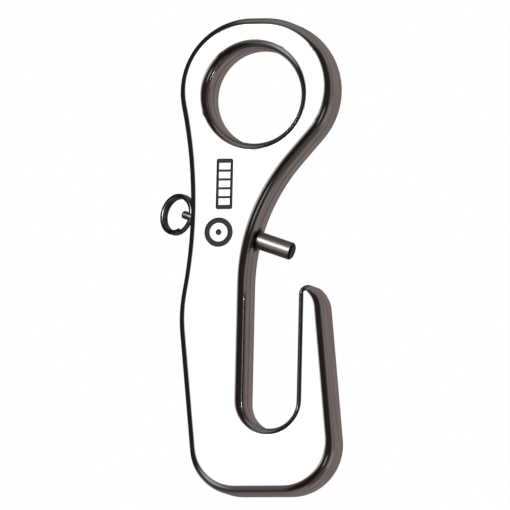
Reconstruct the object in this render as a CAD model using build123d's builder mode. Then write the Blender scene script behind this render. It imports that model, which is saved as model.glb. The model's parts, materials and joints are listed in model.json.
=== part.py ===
from build123d import *
import os
from math import acos, cos, degrees, radians, sin, sqrt

# Eye hook with a spring latch, in millimetres.
#
# A flat forged plate carries an eye at its top and a chain hook at its bottom. A spring pushes a
# round latch pin out of the shank and across the hook's throat. The pin's thin tail comes out of
# the plate's back edge, where a split ring through the tail pulls the pin back.
#
# Frame: the origin is the centre of the eye bore, halfway through the plate. +Z runs up the plate,
# the slot lies along it, the front face looks towards -Y and the throat opens towards +X.
# Outline points are (x, z) pairs, drawn on Plane.XZ.

# ---- Plate ----
plate_thickness = 10.0
edge_radius = 2.0                # round along both faces of the plate

eye_bore_radius = 11.0
eye_radius_left = 16.7           # outside of the eye, two arcs joined by a short flat crown
eye_radius_right = 16.5
eye_centre_left = -1.4
eye_centre_right = 2.15
crown_height = 18.0

slot_radius = 6.27               # half the slot's width, and the round of its bottom
slot_centre_x = 5.17
slot_centre_z = -70.55
neck_radius = 43.0               # hollow between the eye and the throat side of the shank
neck_centre_z = -43.45

waist_x = -14.95                 # back edge of the shank at its narrowest
back_radius = 108.0              # hollow along the back edge
bulge_radius = 34.7              # swell where the back edge turns into the block
bulge_centre_z = -51.0
side_lean = 6.4                  # both sides of the block lean by this many degrees
block_width = 34.7               # square across the leaning sides
base_z = -92.05
corner_radius_left = 11.3
corner_radius_right = 11.8

nose_radius = 2.1                # inner round of the hook's tip
tip_radius = 7.3                 # outer round of the hook's tip
tip_centre_z = -49.8

# ---- Latch ----
latch_slope = 18.6               # the pin runs down towards the throat by this many degrees
latch_entry_z = -27.8            # where the pin's axis crosses the back edge
shank_depth = 16.1               # back edge to throat wall, along the pin
shoulder_depth = 2.6             # wall that the spring stands on
running_gap = 0.05               # radial, pin in its bore and tail in its hole

pin_radius = 2.05
pin_reach = 25.0                 # back edge to the pin's free end
pin_guide = 3.4                  # length of pin still inside the bore when it is out
pin_chamfer = 0.4
tail_radius = 0.92
tail_reach = 3.25                # how far the tail stands out of the back edge
tail_round = 0.6
mouth_chamfer = 0.35             # countersink round the bore's mouth

spring_wire_radius = 0.2
spring_radius = 1.6              # to the middle of the wire
spring_coils = 6.5
spring_gap = 0.05                # each end, to what it bears on

# ---- Pull ring ----
ring_radius = 4.3                # to the middle of the wire
ring_wire_width = 1.15           # across the wire, in the plane of the ring
ring_wire_thickness = 0.92       # along the axis of the ring
ring_pitch = 0.96                # the turns lie a hair apart
ring_turns = 1.69                # one layer deep where it goes through the tail
ring_hole_radius = 0.72
ring_hole_reach = 1.15           # back edge to the hole, along the pin
ring_hole_lean = 11.5            # the hole is off plumb by this many degrees
ring_inset = 0.075               # centres the curved wire in its straight hole
ring_swing = 27.0                # how far the ring lies back from the plane of the plate

# ---- Plain marks on the front face ----
mark_depth = 0.35
panel_x = -6.5
panel_z = -20.45
panel_width = 4.0
panel_height = 11.7
panel_round = 0.5
bar_width = 2.7
bar_height = 1.5
bar_spacing = 2.05
bar_count = 5
disc_x = -7.65
disc_z = -31.6
disc_groove_radius = 3.4
disc_radius = 2.15
dimple_radius = 0.7


def arc(centre, start, end):
    """Draw the arc about centre that runs the short way from start to end."""
    radius = (start - centre).length
    middle = centre + ((start - centre) + (end - centre)).normalized() * radius
    return ThreePointArc(start, middle, end)


def touch(centre, radius, other):
    """The point of a circle that faces the centre of a circle touching it."""
    return centre + (other - centre).normalized() * radius


# ---- Points of the outline ----
eye_left = Vector(eye_centre_left, crown_height - eye_radius_left)
eye_right = Vector(eye_centre_right, crown_height - eye_radius_right)

slot_centre = Vector(slot_centre_x, slot_centre_z)
across_slot = Vector(slot_radius, 0)
slot_bottom = slot_centre - Vector(0, slot_radius)
throat_x = slot_centre_x - slot_radius
arm_x = slot_centre_x + slot_radius

neck = Vector(throat_x + neck_radius, neck_centre_z)
neck_turn = acos((neck_radius + eye_radius_right) / (neck - eye_right).length)
neck_normal = (neck - eye_right).normalized().rotate(Axis.Z, degrees(neck_turn))

back_x = waist_x - back_radius
back_drop = sqrt((back_radius + eye_radius_left) ** 2 - (eye_left.X - back_x) ** 2)
back = Vector(back_x, eye_left.Y - back_drop)

bulge_offset = sqrt((back_radius + bulge_radius) ** 2 - (back.Y - bulge_centre_z) ** 2)
bulge = Vector(back.X + bulge_offset, bulge_centre_z)

side_normal = Vector(cos(radians(side_lean)), sin(radians(side_lean)))
left_side = bulge.dot(side_normal) - bulge_radius
right_side = left_side + block_width


def beside(distance, z):
    """The point at height z whose distance along the sides' normal is the one given."""
    return Vector((distance - z * side_normal.Y) / side_normal.X, z)


corner_left = beside(left_side + corner_radius_left, base_z + corner_radius_left)
corner_right = beside(right_side - corner_radius_right, base_z + corner_radius_right)
tip = beside(right_side - tip_radius, tip_centre_z)
nose_x = arm_x + nose_radius
nose_rise = sqrt((tip_radius - nose_radius) ** 2 - (nose_x - tip.X) ** 2)
nose = Vector(nose_x, tip.Y + nose_rise)

crown_left = Vector(eye_left.X, crown_height)
crown_right = Vector(eye_right.X, crown_height)
neck_top = eye_right + neck_normal * eye_radius_right
neck_foot = neck - neck_normal * neck_radius
throat_top = Vector(throat_x, neck.Y)
slot_left = slot_centre - across_slot
slot_right = slot_centre + across_slot
nose_start = Vector(arm_x, nose.Y)
nose_end = touch(tip, tip_radius, nose)
arm_top = tip + side_normal * tip_radius
arm_foot = corner_right + side_normal * corner_radius_right
base_right = Vector(corner_right.X, base_z)
base_left = Vector(corner_left.X, base_z)
side_foot = corner_left - side_normal * corner_radius_left
side_top = bulge - side_normal * bulge_radius
bulge_top = touch(bulge, bulge_radius, back)
waist_top = touch(eye_left, eye_radius_left, back)

# ---- Planes of the latch ----
latch_direction = Vector(cos(radians(latch_slope)), 0, -sin(radians(latch_slope)))
latch_entry = Vector(waist_x, 0, latch_entry_z)


def across_latch(reach):
    """The plane square to the pin's axis, this far from the back edge towards the throat."""
    return Plane(latch_entry + latch_direction * reach, x_dir=(0, 1, 0), z_dir=latch_direction)


along_latch = Plane(latch_entry, x_dir=latch_direction, z_dir=(0, -1, 0))
latch_axis = Axis(latch_entry, latch_direction)
pin_back = shank_depth - pin_guide
bore_radius = pin_radius + running_gap

# ---- Hook body ----
with BuildPart() as hook_body:
    with BuildSketch(Plane.XZ):
        with BuildLine():
            Line(crown_left, crown_right)
            arc(eye_right, crown_right, neck_top)
            Line(neck_top, neck_foot)
            arc(neck, neck_foot, throat_top)
            Line(throat_top, slot_left)
            arc(slot_centre, slot_left, slot_bottom)
            arc(slot_centre, slot_bottom, slot_right)
            Line(slot_right, nose_start)
            arc(nose, nose_start, nose_end)
            arc(tip, nose_end, arm_top)
            Line(arm_top, arm_foot)
            arc(corner_right, arm_foot, base_right)
            Line(base_right, base_left)
            arc(corner_left, base_left, side_foot)
            Line(side_foot, side_top)
            arc(bulge, side_top, bulge_top)
            arc(back, bulge_top, waist_top)
            arc(eye_left, waist_top, crown_left)
        make_face()
        Circle(eye_bore_radius, mode=Mode.SUBTRACT)
    extrude(amount=plate_thickness / 2, both=True)
    fillet(hook_body.faces().filter_by(Axis.Y).edges(), edge_radius)

    # Bore for pin and spring, open on the throat side, with a small hole for the tail.
    with BuildSketch(across_latch(shoulder_depth)):
        Circle(bore_radius)
    extrude(amount=shank_depth, mode=Mode.SUBTRACT)
    with BuildSketch(across_latch(shoulder_depth)):
        Circle(tail_radius + running_gap)
    extrude(amount=-2 * shoulder_depth, mode=Mode.SUBTRACT)
    with BuildSketch(along_latch):
        with BuildLine():
            Polyline(
                (shank_depth - mouth_chamfer, 0),
                (shank_depth - mouth_chamfer, bore_radius),
                (shank_depth + 2 * mouth_chamfer, bore_radius + 3 * mouth_chamfer),
                (shank_depth + 2 * mouth_chamfer, 0),
                close=True,
            )
        make_face()
    revolve(axis=latch_axis, mode=Mode.SUBTRACT)

    # Shallow marks with plain raised shapes.
    with BuildSketch(Plane.XZ.offset(plate_thickness / 2)):
        with Locations((panel_x, panel_z)):
            RectangleRounded(panel_width, panel_height, panel_round)
            with GridLocations(0, bar_spacing, 1, bar_count):
                Rectangle(bar_width, bar_height, mode=Mode.SUBTRACT)
        with Locations((disc_x, disc_z)):
            Circle(disc_groove_radius)
            Circle(disc_radius, mode=Mode.SUBTRACT)
            Circle(dimple_radius)
    extrude(amount=-mark_depth, mode=Mode.SUBTRACT)
hook_body.part.label = "hook_body"

# ---- Latch pin, with its tail ----
hole_direction = Vector(sin(radians(ring_hole_lean)), 0, cos(radians(ring_hole_lean)))
hole_centre = latch_entry - latch_direction * ring_hole_reach

with BuildPart() as latch_pin:
    with BuildSketch(along_latch):
        with BuildLine():
            Polyline(
                (-tail_reach, 0),
                (-tail_reach, tail_radius),
                (pin_back, tail_radius),
                (pin_back, pin_radius),
                (pin_reach, pin_radius),
                (pin_reach, 0),
                close=True,
            )
        make_face()
    revolve(axis=latch_axis)
    ends = latch_pin.edges().filter_by(GeomType.CIRCLE).sort_by(Axis.X)
    fillet(ends[0], tail_round)
    ends = latch_pin.edges().filter_by(GeomType.CIRCLE).sort_by(Axis.X)
    chamfer(ends[-1], pin_chamfer)
    with BuildSketch(Plane(hole_centre, x_dir=(0, 1, 0), z_dir=hole_direction)):
        Circle(ring_hole_radius)
    extrude(amount=2 * tail_radius, both=True, mode=Mode.SUBTRACT)
latch_pin.part.label = "latch_pin"

# ---- Latch spring, wound on its own axis and then put in the bore ----
spring_start = shoulder_depth + spring_gap + spring_wire_radius
spring_length = pin_back - spring_gap - spring_wire_radius - spring_start

with BuildPart() as spring_coil:
    with BuildLine() as coil:
        Helix(spring_length / spring_coils, spring_length, spring_radius)
    with BuildSketch(Plane(coil.line @ 0, x_dir=(1, 0, 0), z_dir=coil.line % 0)):
        Circle(spring_wire_radius)
    sweep(is_frenet=True)

with BuildPart() as latch_spring:
    with Locations(across_latch(spring_start)):
        add(spring_coil.part)
latch_spring.part.label = "latch_spring"

# ---- Pull ring, wound on its own axis and then put through the tail ----
lie = radians(ring_swing)
level = Vector(-hole_direction.Z, 0, hole_direction.X)
outward = level * cos(lie) + Vector(0, 1, 0) * sin(lie)
ring_centre = hole_centre + outward * (ring_radius - ring_inset)
ring_axis = hole_direction.cross(outward)
half_turns = ring_turns / 2
ring_start = (outward * -1).rotate(Axis((0, 0, 0), ring_axis), -360 * half_turns)
ring_base = ring_centre - ring_axis * (ring_pitch * half_turns)

with BuildPart() as ring_winding:
    with BuildLine() as winding:
        Helix(ring_pitch, ring_pitch * ring_turns, ring_radius)
    with BuildSketch(Plane(winding.line @ 0, x_dir=(1, 0, 0), z_dir=winding.line % 0)):
        SlotOverall(ring_wire_width, ring_wire_thickness)
    sweep(is_frenet=True)

with BuildPart() as pull_ring:
    with Locations(Plane(ring_base, x_dir=ring_start, z_dir=ring_axis)):
        add(ring_winding.part)
pull_ring.part.label = "pull_ring"

# ---- Files ----
os.makedirs("parts", exist_ok=True)
for piece in (hook_body, latch_pin, latch_spring, pull_ring):
    export_step(piece.part, f"parts/{piece.part.label}.step")
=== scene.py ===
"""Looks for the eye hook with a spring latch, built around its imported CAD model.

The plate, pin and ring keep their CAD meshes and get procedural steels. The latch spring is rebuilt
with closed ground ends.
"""
import json
import math

import bmesh
import bpy
from mathutils import Matrix, Vector


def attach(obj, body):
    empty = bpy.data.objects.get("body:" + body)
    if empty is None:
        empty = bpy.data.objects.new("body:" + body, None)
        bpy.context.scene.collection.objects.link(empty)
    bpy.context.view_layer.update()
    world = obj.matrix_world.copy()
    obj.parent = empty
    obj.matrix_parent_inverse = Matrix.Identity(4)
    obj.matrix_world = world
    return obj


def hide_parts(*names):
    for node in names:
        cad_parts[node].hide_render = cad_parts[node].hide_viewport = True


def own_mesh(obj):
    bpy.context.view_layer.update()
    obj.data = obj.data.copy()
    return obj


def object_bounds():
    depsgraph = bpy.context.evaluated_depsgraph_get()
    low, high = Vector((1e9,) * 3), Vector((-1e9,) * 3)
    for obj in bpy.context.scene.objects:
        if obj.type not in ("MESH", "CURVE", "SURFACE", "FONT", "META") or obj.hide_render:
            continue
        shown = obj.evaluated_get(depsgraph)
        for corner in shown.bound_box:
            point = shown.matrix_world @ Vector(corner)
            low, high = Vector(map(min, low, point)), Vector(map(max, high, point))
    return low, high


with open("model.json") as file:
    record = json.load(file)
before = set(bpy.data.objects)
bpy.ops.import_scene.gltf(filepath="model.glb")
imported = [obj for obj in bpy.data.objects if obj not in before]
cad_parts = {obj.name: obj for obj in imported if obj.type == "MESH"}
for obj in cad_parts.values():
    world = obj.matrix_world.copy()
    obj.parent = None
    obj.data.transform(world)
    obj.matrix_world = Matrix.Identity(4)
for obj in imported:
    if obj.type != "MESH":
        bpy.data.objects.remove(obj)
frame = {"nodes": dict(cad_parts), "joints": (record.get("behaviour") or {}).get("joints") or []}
cad_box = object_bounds()

MM = 0.001
joints = {joint["name"]: joint for joint in frame["joints"]}

# ---- Camera, in metres and degrees ----
CAMERA_AZIMUTH = 17.0            # towards +X
CAMERA_ELEVATION = -6.0          # from a little below
CAMERA_ROLL = 1.3                # the eye leans to the right in the picture
CAMERA_DISTANCE = 4.0            # far off, with a long lens
PICTURE_WIDTH = 0.1172           # what the picture takes in at the object
SENSOR_WIDTH = 36.0
AIM = Vector((0.00145, 0, 0.00062))  # from the middle of the object's box

# ---- Stage ----
FLOOR_DROP = 0.8                 # below the eye
FLOOR_SIZE = 8.0

# ---- Latch, as built in the CAD model ----
LATCH_ENTRY = Vector(joints["latch_spin"]["pos_m"])   # the pin's axis meets the back edge here
LATCH_AXIS = Vector(joints["latch_spin"]["axis"])     # towards the throat
PIN_REACH = 25.0 * MM            # back edge to the pin's free end
PIN_CHAMFER = 0.4 * MM

SPRING_START = 2.65 * MM         # back edge to the spring's first end
SPRING_LENGTH = 10.0 * MM
SPRING_RADIUS = 1.6 * MM         # to the middle of the wire
SPRING_WIRE = 0.2 * MM           # radius
SPRING_TURNS = 6.5
SPRING_CLOSED = 1.0              # turns lying flat at each end
SPRING_STEPS = 28                # points on a turn
WIRE_SIDES = 12

# ---- Marks: the middle and half size of one box round them both, and the depth of their floors ----
MARK_MIDDLE = Vector((-7.2, 0, -24.8)) * MM
MARK_HALF = Vector((4.2, 0, 11.2)) * MM
FACE_Y = -5.0 * MM
MARK_DEPTH = 0.35 * MM
MARK_SIDE_FADE = 0.1 * MM        # how far the grime and painted shade of their floors reach past the box
MARK_FLOOR_HALF = 0.8 * MARK_DEPTH   # and up their walls
MARK_FLOOR_FADE = 0.15 * MARK_DEPTH

# ---- Where the steels change ----
LINE_ROUGHNESS = 0.6             # how strong a belt's or lathe's fine lines are beside its broad ones
EDGE_END = 3.2 * MM              # from the plate's middle plane, where its dulled edge begins to clear
FACE_START = 4.0 * MM            # and where its bright face begins
INNER_X = 1.0 * MM               # the middle of the bore, neck and slot
INNER_HALF = 12.0 * MM           # belt lines are strongest this near to it
OUTER_HALF = 17.0 * MM           # and weakest from here on
STAIN_AND_SHADE_RADIUS = 2.2 * MM          # painted shade and a stain in a dark ring round the latch bore's mouth, from the pin's axis
STAIN_AND_SHADE_END = 3.3 * MM
STAIN_AND_SHADE_START_ALONG = 12.0 * MM    # it is only on the throat side, this far along the pin
STAIN_AND_SHADE_FULL_ALONG = 14.0 * MM
PIN_ROOT = 15.9 * MM             # painted shade darkens the pin where it comes out of the bore
PIN_ROOT_SHADE_HALF = 0.2 * MM
PIN_ROOT_SHADE_FADE = 0.5 * MM
# Painted shade on the pin's tail runs between these two.
TAIL_SHADE_START = 1.0 * MM           # its tail darkens from here, inside the back edge
TAIL_SHADE_FULL = -3.0 * MM            # to here, near the tail's end


def direction(azimuth, elevation):
    """The unit vector towards an azimuth, 0 in front and 90 to the right, and an elevation."""
    a = math.radians(azimuth)
    e = math.radians(elevation)
    return Vector((math.sin(a) * math.cos(e), -math.cos(a) * math.cos(e), math.sin(e)))


def middle():
    """The middle of the object's box."""
    return (cad_box[0] + cad_box[1]) / 2


# ---- Node helpers ----
# A Mix node's sockets for vectors and for colours, whose names repeat.
VECTOR_A, VECTOR_B, VECTOR_RESULT = 4, 5, 1
COLOUR_A, COLOUR_B, COLOUR_RESULT = 6, 7, 2


def add_node(tree, kind, inputs=(), **settings):
    """Add a node, set its properties, and set or link its inputs, given as name and value pairs."""
    made = tree.nodes.new("ShaderNode" + kind)
    for name, value in settings.items():
        setattr(made, name, value)
    for name, value in dict(inputs).items():
        if isinstance(value, bpy.types.NodeSocket):
            tree.links.new(value, made.inputs[name])
        else:
            made.inputs[name].default_value = value
    return made


def calculate(tree, operation, first, second=0.0):
    """The result of a Math node."""
    made = add_node(tree, "Math", {0: first, 1: second}, operation=operation)
    return made.outputs["Value"]


def combine(tree, operation, first, second):
    """The vector that a Vector Math node gives."""
    made = add_node(tree, "VectorMath", {0: first, 1: second}, operation=operation)
    return made.outputs["Vector"]


def dot(tree, vector, other):
    """The dot product of a node's vector and a fixed one."""
    made = add_node(tree, "VectorMath", {0: vector, 1: other}, operation="DOT_PRODUCT")
    return made.outputs["Value"]


def length(tree, vector):
    """How long a node's vector is."""
    return add_node(tree, "VectorMath", {0: vector}, operation="LENGTH").outputs["Value"]


def ramp(tree, value, low, high, to_low=0.0, to_high=1.0):
    """The value carried smoothly from one range to another, and held at its ends."""
    made = add_node(
        tree,
        "MapRange",
        {"Value": value, "From Min": low, "From Max": high, "To Min": to_low, "To Max": to_high},
        interpolation_type="SMOOTHSTEP",
    )
    return made.outputs["Result"]


def window(tree, value, half, fade):
    """1 while a value is within half of zero, falling smoothly to 0 over the fade."""
    size = calculate(tree, "ABSOLUTE", value)
    return ramp(tree, size, half + fade, half)


def place(tree):
    """Where a point is on the object, in metres."""
    return add_node(tree, "TexCoord").outputs["Object"]


def noise(tree, per_metre, detail=2.0):
    """Noise with this many features in a metre, one number for each axis."""
    vector = combine(tree, "MULTIPLY", place(tree), per_metre)
    made = add_node(tree, "TexNoise", {"Vector": vector, "Scale": 1.0, "Detail": detail})
    return made.outputs["Fac"]


def lines(tree, distance, per_metre, detail=3.0):
    """Noise that changes only with one distance, like the lines of a belt or a lathe."""
    made = add_node(
        tree,
        "TexNoise",
        {
            "W": calculate(tree, "MULTIPLY", distance, per_metre),
            "Scale": 1.0,
            "Detail": detail,
            "Roughness": LINE_ROUGHNESS,
        },
        noise_dimensions="1D",
    )
    return made.outputs["Fac"]


def add_up(tree, *shares):
    """The sum of values, each given with its share."""
    total = calculate(tree, "MULTIPLY", *shares[0])
    for value, share in shares[1:]:
        made = add_node(tree, "Math", {0: value, 1: share, 2: total}, operation="MULTIPLY_ADD")
        total = made.outputs["Value"]
    return total


# ---- Camera and light ----
def make_camera():
    """A long lens, a little to the right of the object and below it."""
    data = bpy.data.cameras.new("camera")
    data.sensor_width = SENSOR_WIDTH
    data.lens = SENSOR_WIDTH * CAMERA_DISTANCE / PICTURE_WIDTH
    data.clip_end = 10.0
    camera = bpy.data.objects.new("camera", data)
    back = direction(CAMERA_AZIMUTH, CAMERA_ELEVATION)
    turn = back.to_track_quat("Z", "Y").to_matrix().to_4x4()
    roll = Matrix.Rotation(math.radians(CAMERA_ROLL), 4, "Z")
    camera.matrix_world = Matrix.Translation(middle() + AIM + back * CAMERA_DISTANCE) @ turn @ roll
    bpy.context.scene.collection.objects.link(camera)
    bpy.context.scene.camera = camera


# The room that the steel mirrors, as soft-edged panels laid over an even warm grey. Each is its
# azimuth and elevation, half its width and height, how far its sides and its ends fade out, and its
# colour. A later panel covers an earlier one.
ROOM_GREY = (0.148, 0.126, 0.119)
ROOM_PANELS = {
    "ceiling": (0, 90, 180, 22, 1, 22, (0.225, 0.21, 0.205)),
    "back_wall": (165, 0, 10, 34, 42, 30, (0.25, 0.207, 0.196)),
    "floor_front": (-17, -72, 80, 18, 20, 12, (0.068, 0.062, 0.059)),
    "right_flag": (43, -8, 22, 46, 44, 22, (0.026, 0.019, 0.017)),
    "low_right_flag": (98, -52, 14, 8, 30, 16, (0.085, 0.074, 0.070)),
    "low_front_flag": (14, -44, 15, 22, 13, 12, (0.018, 0.014, 0.013)),
    "left_flag": (-95, 22, 46, 32, 30, 18, (0.026, 0.020, 0.018)),
    "low_left_card": (-46, -25, 8, 7, 13, 9, (0.50, 0.485, 0.475)),
    "low_back_card": (135, -16, 7, 6, 9, 8, (0.42, 0.40, 0.39)),
    "low_right_card": (46, -19, 4, 4, 7, 6, (0.36, 0.345, 0.335)),
    "far_left_card": (-135, -19, 7, 6, 9, 8, (0.42, 0.40, 0.39)),
    "front_card": (0, -3.5, 3, 2, 6, 4, (0.58, 0.57, 0.56)),
}

# The oval soft light that whitens the front face, in degrees.
KEY_AZIMUTH = -21.5
KEY_ELEVATION = 14.5
KEY_WIDTH = 20.0                 # half, to the middle of its soft edge
KEY_HEIGHT = 17.0                # half
KEY_EDGE = 0.45                  # how soft its edge is, as a share of its size
KEY_COLOUR = (1.75, 1.75, 1.75)
KEY_CORE = (22.0, 22.0, 22.0)    # its hot middle, which lights the rougher steels
KEY_CORE_SIZE = 0.50             # as a share of its size


def bearings(tree, towards, azimuth, elevation):
    """How far a direction is across and up from the one given, in degrees."""
    ahead = direction(azimuth, elevation)
    right = direction(azimuth + 90, 0)
    across = calculate(tree, "ARCTAN2", dot(tree, towards, right), dot(tree, towards, ahead))
    along = calculate(tree, "ARCSINE", dot(tree, towards, right.cross(-ahead)))
    return calculate(tree, "DEGREES", across), calculate(tree, "DEGREES", along)


def panel_share(tree, towards, azimuth, elevation, width, height, side_fade, end_fade):
    """1 on a rectangular panel, fading to 0 round it."""
    across, along = bearings(tree, towards, azimuth, elevation)
    return calculate(
        tree, "MULTIPLY", window(tree, across, width, side_fade), window(tree, along, height, end_fade)
    )


def key_reach(tree, towards):
    """How far a direction is from the middle of the oval key light, as a share of its size."""
    across, along = bearings(tree, towards, KEY_AZIMUTH, KEY_ELEVATION)
    spot = add_node(tree, "CombineXYZ", {"X": across, "Y": along}).outputs["Vector"]
    return length(tree, combine(tree, "DIVIDE", spot, (KEY_WIDTH, KEY_HEIGHT, 1)))


def cover(tree, under, over, share):
    """One colour over another, by share."""
    mixed = add_node(tree, "Mix", {"Factor": share, VECTOR_A: under, VECTOR_B: over}, data_type="VECTOR")
    return mixed.outputs[VECTOR_RESULT]


def make_world():
    """White behind the object, and a studio in soft panels for the steel to mirror."""
    world = bpy.data.worlds.new("studio")
    world.use_nodes = True
    bpy.context.scene.world = world
    tree = world.node_tree
    tree.nodes.clear()
    towards = add_node(tree, "TexCoord").outputs["Generated"]
    base = add_node(tree, "CombineXYZ", {"X": ROOM_GREY[0], "Y": ROOM_GREY[1], "Z": ROOM_GREY[2]})
    colour = base.outputs["Vector"]
    for *shape, shade in ROOM_PANELS.values():
        colour = cover(tree, colour, shade, panel_share(tree, towards, *shape))
    reach = key_reach(tree, towards)
    colour = cover(tree, colour, KEY_COLOUR, ramp(tree, reach, 1 + KEY_EDGE, 1 - KEY_EDGE))
    colour = cover(tree, colour, KEY_CORE, ramp(tree, reach, KEY_CORE_SIZE, KEY_CORE_SIZE / 2))
    room = add_node(tree, "Background", {"Color": colour})
    white = add_node(tree, "Background", {"Color": (1, 1, 1, 1)})
    seen = add_node(tree, "LightPath").outputs["Is Camera Ray"]
    mix = add_node(
        tree,
        "MixShader",
        {0: seen, 1: room.outputs["Background"], 2: white.outputs["Background"]},
    )
    add_node(tree, "OutputWorld", {"Surface": mix.outputs["Shader"]})


def make_floor():
    """A pale floor far below, which the steel doesn't mirror."""
    mesh = bpy.data.meshes.new("floor")
    build = bmesh.new()
    bmesh.ops.create_grid(build, x_segments=1, y_segments=1, size=FLOOR_SIZE / 2)
    build.to_mesh(mesh)
    build.free()
    floor = bpy.data.objects.new("floor", mesh)
    floor.location.z = -FLOOR_DROP
    floor.visible_glossy = False
    material = bpy.data.materials.new("floor_pale")
    material.use_nodes = True
    shader = material.node_tree.nodes["Principled BSDF"]
    shader.inputs["Base Color"].default_value = (0.9, 0.9, 0.9, 1)
    shader.inputs["Roughness"].default_value = 0.8
    shader.inputs["Emission Color"].default_value = (1, 1, 1, 1)
    shader.inputs["Emission Strength"].default_value = 0.75
    mesh.materials.append(material)
    bpy.context.scene.collection.objects.link(floor)


# ---- Materials ----
def make_metal(name):
    """A metal, its node tree to add detail to, and its shader."""
    material = bpy.data.materials.new(name)
    material.use_nodes = True
    tree = material.node_tree
    shader = tree.nodes["Principled BSDF"]
    shader.inputs["Metallic"].default_value = 1.0
    return material, tree, shader


def bump(tree, shader, height, distance):
    """Raise the surface by height, from 0 to 1, times distance in metres."""
    made = add_node(tree, "Bump", {"Height": height, "Distance": distance, "Strength": 1.0})
    tree.links.new(made.outputs["Normal"], shader.inputs["Normal"])


def tint(tree, shader, share, low, high):
    """Colour the metal from low to high as share goes from 0 to 1."""
    ends = {COLOUR_A: (*low, 1), COLOUR_B: (*high, 1)}
    mixed = add_node(tree, "Mix", {"Factor": share, **ends}, data_type="RGBA")
    tree.links.new(mixed.outputs[COLOUR_RESULT], shader.inputs["Base Color"])


def from_latch_axis(tree):
    """How far a point on the object is from the pin's axis."""
    offset = combine(tree, "SUBTRACT", place(tree), LATCH_ENTRY)
    across = combine(tree, "CROSS_PRODUCT", offset, LATCH_AXIS)
    return length(tree, across)


def along_latch_axis(tree):
    """How far along the pin's axis a point on the object is, from the back edge."""
    return dot(tree, combine(tree, "SUBTRACT", place(tree), LATCH_ENTRY), LATCH_AXIS)


def mark_floors(tree):
    """1 on the sunk floors of the marks, and 0 elsewhere: where the plate gets grime and painted shade."""
    offset = combine(tree, "SUBTRACT", place(tree), MARK_MIDDLE)
    parts = add_node(tree, "SeparateXYZ", {"Vector": offset})
    inside = calculate(
        tree,
        "MULTIPLY",
        window(tree, parts.outputs["X"], MARK_HALF.x, MARK_SIDE_FADE),
        window(tree, parts.outputs["Z"], MARK_HALF.z, MARK_SIDE_FADE),
    )
    from_floor = calculate(tree, "ADD", parts.outputs["Y"], -FACE_Y - MARK_DEPTH)
    sunk = window(tree, from_floor, MARK_FLOOR_HALF, MARK_FLOOR_FADE)
    return calculate(tree, "MULTIPLY", inside, sunk)


def bore_mouth_stain_and_shade(tree):
    """1 round the mouth of the pin's bore on the throat side, fading to 0 round about; there the plate
    gets painted shade and a stain.
    """
    near = ramp(tree, from_latch_axis(tree), STAIN_AND_SHADE_END, STAIN_AND_SHADE_RADIUS)
    throat_side = ramp(tree, along_latch_axis(tree), STAIN_AND_SHADE_START_ALONG, STAIN_AND_SHADE_FULL_ALONG)
    return calculate(tree, "MULTIPLY", near, throat_side)


def belt_streaks(tree, belt):
    """The belt lines, 0.25 on average, strongest in the bore, neck and slot, which are hard to reach."""
    side = calculate(tree, "SUBTRACT", dot(tree, place(tree), Vector((1, 0, 0))), INNER_X)
    strength = ramp(tree, calculate(tree, "ABSOLUTE", side), OUTER_HALF, INNER_HALF, 0.25, 2.4)
    swing = calculate(tree, "SUBTRACT", belt, 0.5)
    return calculate(tree, "ADD", calculate(tree, "MULTIPLY", swing, strength), 0.25)


def make_plate_steel():
    """Polished forged stainless: belt lines along its edge, a slight ripple, and grime with painted shade
    where it is sunk and round the latch bore's mouth.
    """
    material, tree, shader = make_metal("plate_steel_polished")
    depth = dot(tree, place(tree), Vector((0, 1, 0)))
    belt = lines(tree, depth, 800, detail=4.0)
    patchy = noise(tree, (90, 500, 90), detail=3.0)
    ripple = noise(tree, (130, 130, 130), detail=1.0)
    hairlines = noise(tree, (4000, 4000, 260), detail=2.0)
    # Grime and painted shade: the sunk mark floors and the latch bore's mouth are coloured near black and
    # made rougher.
    grime_and_painted_shade = calculate(tree, "MAXIMUM", mark_floors(tree), bore_mouth_stain_and_shade(tree))
    worn = add_up(tree, (belt_streaks(tree, belt), 1.0), (patchy, 0.38), (hairlines, 0.12))
    edge = ramp(tree, calculate(tree, "ABSOLUTE", depth), FACE_START, EDGE_END, 0.25, 1.0)
    dulled = calculate(tree, "MULTIPLY", edge, ramp(tree, worn, 0.62, 0.34, 0.0, 0.52))
    clean = calculate(tree, "SUBTRACT", calculate(tree, "SUBTRACT", 1.0, dulled), grime_and_painted_shade)
    tint(tree, shader, calculate(tree, "MAXIMUM", clean, 0.0), (0.035, 0.030, 0.028), (0.66, 0.65, 0.64))
    polish = ramp(tree, worn, 0.35, 0.65, 0.035, 0.075)
    rough = calculate(tree, "MAXIMUM", polish, calculate(tree, "MULTIPLY", grime_and_painted_shade, 0.5))
    tree.links.new(rough, shader.inputs["Roughness"])
    bump(tree, shader, add_up(tree, (ripple, 1.0), (belt, 0.05), (hairlines, 0.006)), 0.012 * MM)
    return material


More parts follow.
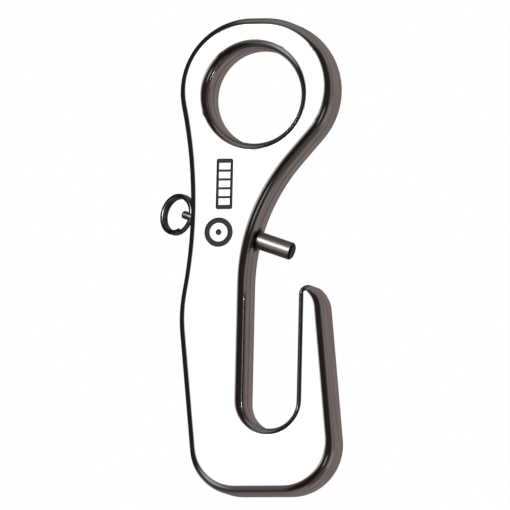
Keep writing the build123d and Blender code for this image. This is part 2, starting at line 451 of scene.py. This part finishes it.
def make_pin_steel():
    """Ground stainless, with lathe lines round it, and painted shade darkening its chamfer, root and tail.
    """
    material, tree, shader = make_metal("pin_steel_ground")
    along = along_latch_axis(tree)
    turning = lines(tree, along, 5200)
    scuffs = noise(tree, (900, 900, 900))
    finish = add_up(tree, (turning, 0.6), (scuffs, 0.4))
    # Painted shade: the chamfer, the root at the bore and the tail are coloured darker.
    from_chamfer = calculate(tree, "SUBTRACT", along, PIN_REACH - PIN_CHAMFER / 2)
    chamfer = window(tree, from_chamfer, PIN_CHAMFER / 2, PIN_CHAMFER / 8)
    from_root = calculate(tree, "SUBTRACT", along, PIN_ROOT)
    root = window(tree, from_root, PIN_ROOT_SHADE_HALF, PIN_ROOT_SHADE_FADE)
    tail = ramp(tree, along, TAIL_SHADE_START, TAIL_SHADE_FULL, 0.15, 0.8)
    dark = calculate(tree, "MAXIMUM", calculate(tree, "MAXIMUM", chamfer, root), tail)
    share = calculate(tree, "SUBTRACT", ramp(tree, finish, 0.3, 0.7, 0.84, 1.0), dark)
    tint(tree, shader, calculate(tree, "MAXIMUM", share, 0.0), (0.07, 0.06, 0.057), (0.52, 0.505, 0.49))
    tree.links.new(ramp(tree, finish, 0.3, 0.7, 0.36, 0.43), shader.inputs["Roughness"])
    bump(tree, shader, add_up(tree, (turning, 0.5), (scuffs, 0.5)), 0.0015 * MM)
    return material


def make_ring_steel():
    """Drawn wire, with lines along it and dulled in places."""
    material, tree, shader = make_metal("ring_steel_drawn")
    drawn = noise(tree, (2600, 2600, 500), detail=3.0)
    dull = noise(tree, (420, 420, 420))
    finish = add_up(tree, (drawn, 0.5), (dull, 0.5))
    tint(tree, shader, ramp(tree, finish, 0.35, 0.65), (0.18, 0.168, 0.163), (0.34, 0.327, 0.32))
    tree.links.new(ramp(tree, finish, 0.35, 0.65, 0.27, 0.20), shader.inputs["Roughness"])
    bump(tree, shader, drawn, 0.0015 * MM)
    return material


def make_spring_steel():
    """Drawn spring wire with a thin film of oil."""
    material, tree, shader = make_metal("spring_steel_drawn")
    drawn = noise(tree, (3000, 3000, 3000), detail=3.0)
    tint(tree, shader, ramp(tree, drawn, 0.35, 0.65), (0.30, 0.28, 0.26), (0.56, 0.55, 0.53))
    tree.links.new(ramp(tree, drawn, 0.35, 0.65, 0.32, 0.18), shader.inputs["Roughness"])
    bump(tree, shader, drawn, 0.003 * MM)
    return material


# ---- Spring ----
def spring_rise(turn):
    """How far along the spring the wire's middle is after this many turns, closed up at both ends."""
    flat = 2 * SPRING_WIRE
    last = SPRING_TURNS - SPRING_CLOSED
    open_length = SPRING_LENGTH - 2 * SPRING_WIRE - 2 * flat * SPRING_CLOSED
    if turn < SPRING_CLOSED:
        return flat * turn
    if turn > last:
        return SPRING_LENGTH - 2 * SPRING_WIRE - flat * (SPRING_TURNS - turn)
    return flat * SPRING_CLOSED + open_length * (turn - SPRING_CLOSED) / (last - SPRING_CLOSED)


def spring_point(turn, side):
    """A point on the wire's surface, in the spring's own frame with its length along Z."""
    around = 2 * math.pi * turn
    across = 2 * math.pi * side / WIRE_SIDES
    radius = SPRING_RADIUS + SPRING_WIRE * math.cos(across)
    rise = spring_rise(turn) + SPRING_WIRE * (1 + math.sin(across))
    ground = min(max(rise, SPRING_WIRE / 2), SPRING_LENGTH - SPRING_WIRE / 2)
    return Vector((radius * math.cos(around), radius * math.sin(around), ground))


def make_spring(material):
    """A compression spring with closed ground ends."""
    build = bmesh.new()
    count = round(SPRING_TURNS * SPRING_STEPS)
    rings = []
    for step in range(count + 1):
        turn = step / SPRING_STEPS
        rings.append([build.verts.new(spring_point(turn, side)) for side in range(WIRE_SIDES)])
    for first, second in zip(rings, rings[1:]):
        for side in range(WIRE_SIDES):
            after = (side + 1) % WIRE_SIDES
            build.faces.new((first[side], first[after], second[after], second[side]))
    build.faces.new(list(reversed(rings[0])))
    build.faces.new(rings[-1])
    bmesh.ops.recalc_face_normals(build, faces=build.faces)
    for face in build.faces:
        face.smooth = True
    turn = LATCH_AXIS.to_track_quat("Z", "Y").to_matrix().to_4x4()
    start = LATCH_ENTRY + LATCH_AXIS * SPRING_START
    build.transform(Matrix.Translation(start) @ turn)
    mesh = bpy.data.meshes.new("latch_spring_coil")
    build.to_mesh(mesh)
    build.free()
    mesh.materials.append(material)
    spring = bpy.data.objects.new("latch_spring_coil", mesh)
    bpy.context.scene.collection.objects.link(spring)
    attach(spring, "hook_body")
    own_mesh(spring)
    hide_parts("latch_spring")


bpy.context.scene.view_settings.view_transform = "Standard"
make_camera()
make_world()
make_floor()

frame["nodes"]["hook_body"].material_slots[0].material = make_plate_steel()
frame["nodes"]["latch_pin"].material_slots[0].material = make_pin_steel()
frame["nodes"]["pull_ring"].material_slots[0].material = make_ring_steel()
make_spring(make_spring_steel())
